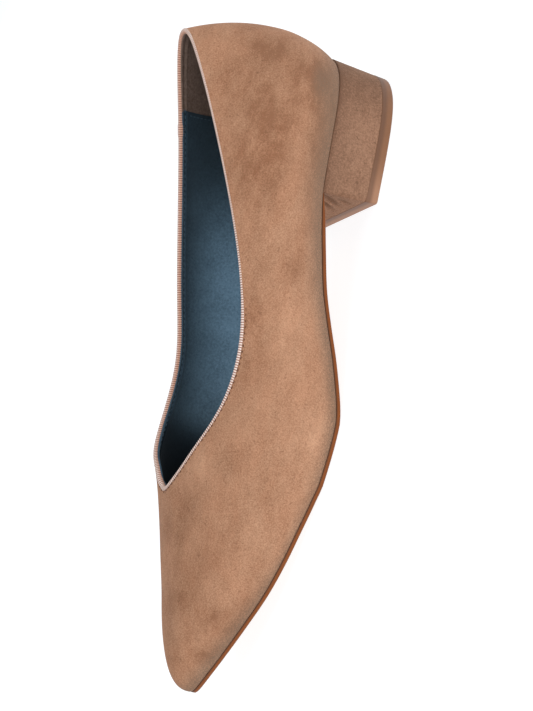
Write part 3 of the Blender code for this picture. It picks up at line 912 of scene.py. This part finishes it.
def makeInsole():
    shares = (0.12, 0.3, 0.5, 0.75, 1.0)
    rim = roundEdge(insole["boardRound"], insole["boardLow"], insole["boardHigh"], insole["boardRound"])
    below = [(rim[0][0], s, rim[0][2]) for s in shares[::-1]]
    above = [(rim[-1][0], s, rim[-1][2]) for s in shares]
    brown = {**upper["look"], "dark": "#6B4C39", "light": "#8E6B54", "deep": "#4E3528", "sheen": 0.15}
    for mark in ("edgeShadeMark", "tapeShadeMark", "napAndShadeMark"):
        del brown[mark]
    board = wrapGrid(plate(below + rim + above, insole["boardInset"]))
    addPiece("wrappedFootbed", board, brushedSuede("brownWrapSuede", brown), "footbed_wrap", "footbed")

    low, high, inset = insole["sockLow"], insole["sockHigh"], insole["sockInset"]
    edge = roundEdge(insole["sockRound"], low, high)
    sewn = insole["stitchIn"]
    flat = [(d, 0.0, high) for d in (1.5, 3.0, sewn - 1.4)]
    channel = []
    for d in (-0.9, -0.5, -0.2, 0.1, 0.4, 0.8, 1.3, 2.2):
        sunk = insole["channel"] * bell(d, insole["channelWide"])
        channel.append((sewn + d, 0.0, high - sunk + insole["pad"] * max(d, 0) / insole["channelRise"]))
    start, _, slope = channel[-1]
    middle = [(start, s, slope + (insole["pad"] + high - slope) * math.sin(s * math.pi / 2))
              for s in (0.05, 0.1, 0.16, 0.23, 0.31, 0.4, 0.5, 0.62, 0.75, 0.88, 1.0)]
    below = [(edge[0][0], s, low) for s in shares[::-1]]
    points = plate(below + edge + flat + channel + middle, inset, stations=240)
    top = points[len(below) + len(edge):]
    centres = {}
    for name, (x, y) in insole["wrinkleSpots"].items():
        centres[name] = (np.array([x, y, seat(x) + high]), *axes)
    top[:] = troughs(top, np.broadcast_to(axes[2], top.shape), centres, insole["wrinkles"])
    sock = addPiece("sockLining", wrapGrid(points), sockLeather(), "sock_leather", "sock")

    line = soleOutline(inset + sewn)
    line = line[line[:, 0] < insole["stitchEndX"]]
    path = np.column_stack([line, seat(line[:, 0]) + high - 0.05])
    spots = pathAt(path, evenly(path, insole["stitch"]["pitch"]))
    faces = np.broadcast_to(axes[2], spots.shape)
    thread = threadMaterial("sockThread", "#A87B54", "#7A5335")
    sewRow("sockStitch", spots, np.gradient(spots, axis=0), faces, insole["stitch"], thread, "sock_leather")


makeInsole()

# thin sole from the heel's breast to the toe
sole = {
    "edgeRound": 0.7,
    "dressing": 0.7,  # height of the dark line along the top of its edge
    "start": last["breastX"] + last["breastLean"] + last["clearance"],
    "skived": (0.15, 17.0),  # thickness left at the breast, as a share, and the length over which it thins
}


def soleSheet():
    # tan resin-rubber sole sheet with a sanded, waxed edge: satin side, plain matte underside
    material, where, add = newMaterial("tanSoleSheet", {
        "Roughness": 0.55, "IOR": 1.48, "Specular IOR Level": 0.3, "Coat Weight": 0.05,
        "Coat Roughness": 0.3})
    layered = add("Mapping", {"Vector": where, "Scale": (0.25, 0.25, 3.0)})
    streak = add("TexNoise", {
        "Vector": layered, "Scale": perMm(1.6), "Detail": 3.0, "Roughness": 0.6})
    side = add("Mix", {0: streak, mixA: "#6A3206", mixB: "#8E4C10"})
    scuff = add("TexNoise", {
        "Vector": where, "Scale": perMm(9.0), "Detail": 5.0, "Roughness": 0.65})
    under = add("Mix", {0: scuff, mixA: "#A87A50", mixB: "#C6996B"})
    isUnder = add("Attribute", attribute_name="under")
    dressed = add("Attribute", attribute_name="dressed")
    colour = add("Mix", {0: isUnder, mixA: side, mixB: under})
    colour = add("Mix", {0: dressed, mixA: colour, mixB: "#4E2C16"})
    fine = add("TexNoise", {"Vector": where, "Scale": perMm(0.7), "Detail": 3.0})
    sanded = add("Bump", {"Height": fine, "Strength": 0.2, "Distance": 0.1 * mm})
    return dress(material, {"Base Color": colour, "Normal": sanded})


def makeSole():
    thick, r, line = last["soleThickness"], sole["edgeRound"], sole["dressing"]
    shares = (0.1, 0.25, 0.45, 0.7, 1.0)
    under = [(r, s, -thick) for s in shares[::-1]]
    edge = roundEdge(0.12, -thick, 0.0, r, steps=4)
    turned = [row for row in edge if row[2] < -line]
    upperEdge = [row for row in edge if row[2] > -0.25 * line]
    rows = under + turned + [(0.0, 0.0, -line * share) for share in (1.0, 0.75, 0.5, 0.25)] + upperEdge
    marks = {
        "under": np.array([1.0] * len(under) + [1.0] + [0.0] * (len(rows) - len(under) - 1)),
        "dressed": np.array([max(1 + row[2] / line, 0.0) * (row[1] == 0.0) for row in rows]),
    }
    above = [(r, s, 0.0) for s in (0.0,) + shares]
    marks = {key: np.append(value, np.zeros(len(above)))[:, None] for key, value in marks.items()}
    points = plate(rows + above, 0.0)
    left, long = sole["skived"]
    full = np.clip((points[..., 0] - sole["start"]) / long, 0, 1)
    high = seat(points[..., 0])
    points[..., 2] = high + (points[..., 2] - high) * (left + (1 - left) * full * (2 - full))
    bm = wrapGrid(points, marks=marks)
    geom = bm.verts[:] + bm.edges[:] + bm.faces[:]
    cut = Vector(place((sole["start"], 0.0, 0.0)))
    bmesh.ops.bisect_plane(bm, geom=geom, plane_co=cut, plane_no=(-1, 0, 0), clear_outer=True)
    bmesh.ops.holes_fill(bm, edges=[e for e in bm.edges if e.is_boundary])
    addPiece("tanOutsole", bm, soleSheet(), "sole_sheet", "outsole", sharpAngle=50)


makeSole()

# wrapped block heel and its tread
heel = {
    "taper": 0.97,  # width at the floor over the width at the seat
    "treadHigh": 4.9,
    "overhang": 0.7,  # behind the sole outline at the seat, and more of it at the floor
    "flare": 1.0,
    "cornerRound": 1.5,  # upright edges beside the breast
    "rimRound": 0.22,
    "overlap": 0.22,  # by which the wrap and the tread close the joint between them
    "treadProud": 0.1,
    "treadCorner": 0.9,
    "treadRim": 0.28,
    "columns": 64,
    "levels": 26,
    "treadLevels": 8,
    "cornerSteps": 8,
    "breastSteps": 44,
    # the upper's suede made darker as a painted shaded copy, with painted grey shade below the seat
    "look": {**upper["look"], "dark": "#72523F", "light": "#A27C64", "deep": "#573C2C", "edge": "#64493A",
             "edgeShadeMm": 10.0, "edgeShadeTint": 0.3, "middle": 0.03, "warm": 0.1, "patchMm": 3.0, "patch": 0.2,
             "grainMm": 0.7, "speck": 0.6, "fleck": 0.5, "sheenTint": "#EBCBB1"},
    "wrinkleSpots": {  # y, z on the breast
        "cornerCrease": (22.0, 17.5), "cornerFold": (19.3, 17.5), "middleCrease": (16.3, 17.0),
        "middleFold": (13.3, 17.0), "deepCrease": (9.8, 17.5), "deepFold": (6.3, 18.0),
        "lowCrease": (23.0, 11.5), "innerFold": (-21.0, 19.5),
    },
    "wrinkles": {  # length, width, depth in mm, turn in degrees from level
        "cornerCrease": (7.0, 1.3, -1.00, 48), "cornerFold": (7.0, 1.2, 0.60, 48),
        "middleCrease": (7.0, 1.3, -1.00, 46), "middleFold": (6.5, 1.2, 0.60, 44),
        "deepCrease": (6.5, 1.3, -0.90, 42), "deepFold": (6.0, 1.2, 0.50, 40),
        "lowCrease": (4.0, 1.0, -0.50, 60), "innerFold": (4.5, 1.4, -0.60, -35),
    },
    "creaseShade": 1.3,  # painted shade in the creases and painted light on the folds, per mm of fold
    # painted shade on the breast face
    "breastShade": -0.04,
    "strokesAndShade": {  # painted light and shade: x, z, half length, half height in mm, change of tone
        "backDark": (6, 14, 20, 30, -0.45), "frontLight": (44, 9, 15, 6, 0.16),
    },
    "jointShade": (-0.5, 1.1),  # painted shade along the joint under the upper: change of tone, and its height in mm
    "paleFront": (63.0, 11.0, 0.6),  # x, half length in mm and strength of the paler front end of the tread
}


def heelRings(low, high, levels, corner, proud=0.0):
    # plan loops: outer side to the back, inner side forward, then across the breast with its round corners
    outline = soleOutline(0.0)
    back = outline[:, 0].min() + last["clearance"]
    seatHigh = seat(last["breastX"])
    share = np.linspace(0, 1, heel["columns"]) ** 2
    turn = np.linspace(0, math.pi / 2, heel["cornerSteps"] + 1)[1:]
    across = np.linspace(0, 1, heel["breastSteps"])[1:-1]
    rings = []
    for step in np.linspace(0, 1, levels):
        raised = low / seatHigh + step * ((high or seatHigh) - low) / seatHigh
        front = last["breastX"] + last["breastLean"] * raised
        x = back + (front - corner - back) * share
        inner, outer = widths(outline, x) * np.array(heel["taper"] + (1 - heel["taper"]) * raised)
        x = x - (heel["overhang"] + heel["flare"] * (1 - raised)) * (1 - share)
        cornerX, y = x[-1] + corner * np.sin(turn), corner * (1 - np.cos(turn))
        breast = inner[-1] + corner + (outer[-1] - inner[-1] - 2 * corner) * across
        plan = np.concatenate([
            np.column_stack([x, outer])[::-1], np.column_stack([x, inner]),
            np.column_stack([cornerX, inner[-1] + y]),
            np.column_stack([np.full(len(breast), cornerX[-1]), breast]),
            np.column_stack([cornerX, outer[-1] - y])[::-1]])
        top = high or seat(plan[:, 0])
        rings.append(np.column_stack([plan, np.broadcast_to(low + step * (top - low), len(plan))]))
    rings = np.array(rings)
    along = unit(np.roll(rings, -1, axis=1)[..., :2] - np.roll(rings, 1, axis=1)[..., :2])
    rings[..., :2] += np.stack([along[..., 1], -along[..., 0]], axis=-1) * proud
    return rings


def closeBlock(bm, rim):
    # caps both ends and rounds their rims
    bmesh.ops.holes_fill(bm, edges=[e for e in bm.edges if e.is_boundary])
    bmesh.ops.recalc_face_normals(bm, faces=bm.faces)
    rims = [e for e in bm.edges if e.calc_face_angle(0) > math.radians(50)]
    bmesh.ops.bevel(bm, geom=rims, offset=rim * mm, offset_type="OFFSET", affect="EDGES", segments=3,
                    profile=0.5, material=-1, clamp_overlap=True)


def treadRubber():
    # moulded TPU tread: even satin tan, finely pitted
    material, where, add = newMaterial("tanTreadRubber", {
        "Roughness": 0.5, "IOR": 1.5, "Specular IOR Level": 0.4})
    cloud = add("TexNoise", {
        "Vector": where, "Scale": perMm(10.0), "Detail": 4.0, "Roughness": 0.6})
    colour = add("Mix", {0: cloud, mixA: "#774F33", mixB: "#8D6040"})
    # paler towards the front end of the tread
    paleFront = add("Attribute", attribute_name="paleFront")
    colour = add("Mix", {0: paleFront, mixA: colour, mixB: "#B08468"})
    raised = add("Attribute", attribute_name="raised")
    shadedBand = add("MapRange", {  # painted shade along the joint with the block
        "Value": raised, "From Min": 0.35, "From Max": 0.75, "To Max": 0.65}, interpolation_type="SMOOTHSTEP")
    colour = add("Mix", {0: shadedBand, mixA: colour, mixB: "#5C3D2B"})
    pits = add("TexNoise", {"Vector": where, "Scale": perMm(0.8), "Detail": 3.0})
    skin = add("Bump", {"Height": pits, "Strength": 0.15, "Distance": 0.1 * mm})
    return dress(material, {"Base Color": colour, "Normal": skin})


def makeHeel():
    low = heel["treadHigh"] + last["clearance"] - heel["overlap"]
    flat = heelRings(low, None, heel["levels"], heel["cornerRound"])
    lean = last["breastLean"] / seat(last["breastX"])
    centres = {}
    for name, (y, z) in heel["wrinkleSpots"].items():
        centres[name] = (np.array([last["breastX"] + lean * z, y, z]), axes[1], axes[2], axes[0])
    onBreast = np.arange(flat.shape[1]) >= 2 * heel["columns"]
    forward = np.broadcast_to(axes[0] * onBreast[:, None], flat.shape)
    rings = troughs(flat, forward, centres, heel["wrinkles"])
    # painted shade in the creases, on the breast and under the upper, painted light on the folds, and soft
    # spots of painted light and shade
    lay = heel["creaseShade"] * (rings - flat)[..., 0] + heel["breastShade"] * onBreast
    lay += lightAndShadeSpots(rings, heel["strokesAndShade"], heel["strokesAndShade"])
    climb = seat(rings[..., 0]) - rings[..., 2]
    tone, deep = heel["jointShade"]
    lay += tone * bell(climb, deep)
    block = wrapGrid(rings, marks={"climb": climb, "lay": lay})
    closeBlock(block, heel["rimRound"])
    look = {key: value for key, value in heel["look"].items() if key != "tapeShadeMark"}
    addPiece("wrappedHeel", block, brushedSuede("shadedHeelWrapSuede", look), "heel_suede", "heel", sharpAngle=60)
    levels, high = heel["treadLevels"], heel["treadHigh"] + heel["overlap"]
    rings = heelRings(0.0, high, levels, heel["treadCorner"], heel["treadProud"])
    paleFrontX, long, strength = heel["paleFront"]
    paleFront = strength * bell(rings[..., 0] - paleFrontX, long)
    tread = wrapGrid(rings, marks={"raised": np.linspace(0, 1, levels)[:, None], "paleFront": paleFront})
    closeBlock(tread, heel["treadRim"])
    addPiece("heelTread", tread, treadRubber(), "heel_tread", "top_piece", sharpAngle=60)


makeHeel()

# pale seamless floor and soft studio light
studio = {
    "floorSize": 12.0,
    "floor": ("#9A9999", "#9F9E9E"),
    "floorGlow": 0.86,  # a light table's own light, slightly cool
    "glowColour": "#F9FCFF",
    "horizon": 0.97,  # brightness of the tent near the floor, and above its rim
    "zenith": 0.42,
    "rim": 0.3,
    "lamps": {  # place in m, size in m, power in W
        "key": ((0.3, 1.3, 0.35), 1.0, 10.0),
        "overhead": ((-0.1, 0.5, 1.4), 1.0, 4.0),
        "fill": ((-0.3, -1.1, 0.7), 1.2, 5.0),
    },
}


def makeStudio():
    bm = bmesh.new()
    bmesh.ops.create_grid(bm, x_segments=8, y_segments=8, size=studio["floorSize"] / 2)
    mesh = bpy.data.meshes.new("floor")
    bm.to_mesh(mesh)
    bm.free()
    material, where, add = newMaterial("paleLightTable", {
        "Roughness": 0.9, "Specular IOR Level": 0.1, "Emission Color": studio["glowColour"],
        "Emission Strength": studio["floorGlow"]})
    fleck = add("TexNoise", {"Vector": where, "Scale": perMm(400.0), "Detail": 2.0})
    dim, bright = studio["floor"]
    tone = add("Mix", {0: fleck, mixA: dim, mixB: bright})
    mesh.materials.append(dress(material, {"Base Color": tone}))
    addObject("floor", mesh)
    for name, (spot, size, power) in studio["lamps"].items():
        data = bpy.data.lights.new(name, "AREA")
        data.shape = "DISK"
        data.size = size
        data.energy = power
        lamp = addObject(name, data)
        lamp.location = spot
        lamp.rotation_euler = (-Vector(spot)).to_track_quat("-Z", "Y").to_euler()
    world = bpy.data.worlds.new("studio")
    world.use_nodes = True
    upward = node(world, "TexCoord", out="Generated")
    height = node(world, "SeparateXYZ", {"Vector": upward}, out="Z")
    bright = node(world, "MapRange", {
        "Value": height, "From Max": studio["rim"], "To Min": studio["horizon"],
        "To Max": studio["zenith"]}, interpolation_type="SMOOTHSTEP")
    sky = world.node_tree.nodes["Background"]
    setInput(world.node_tree, sky.inputs["Strength"], bright)
    sky.inputs["Color"].default_value = (1.0, 1.0, 1.0, 1.0)
    bpy.context.scene.world = world
    bpy.context.scene.view_settings.view_transform = "Standard"


makeStudio()
print("studio lit")
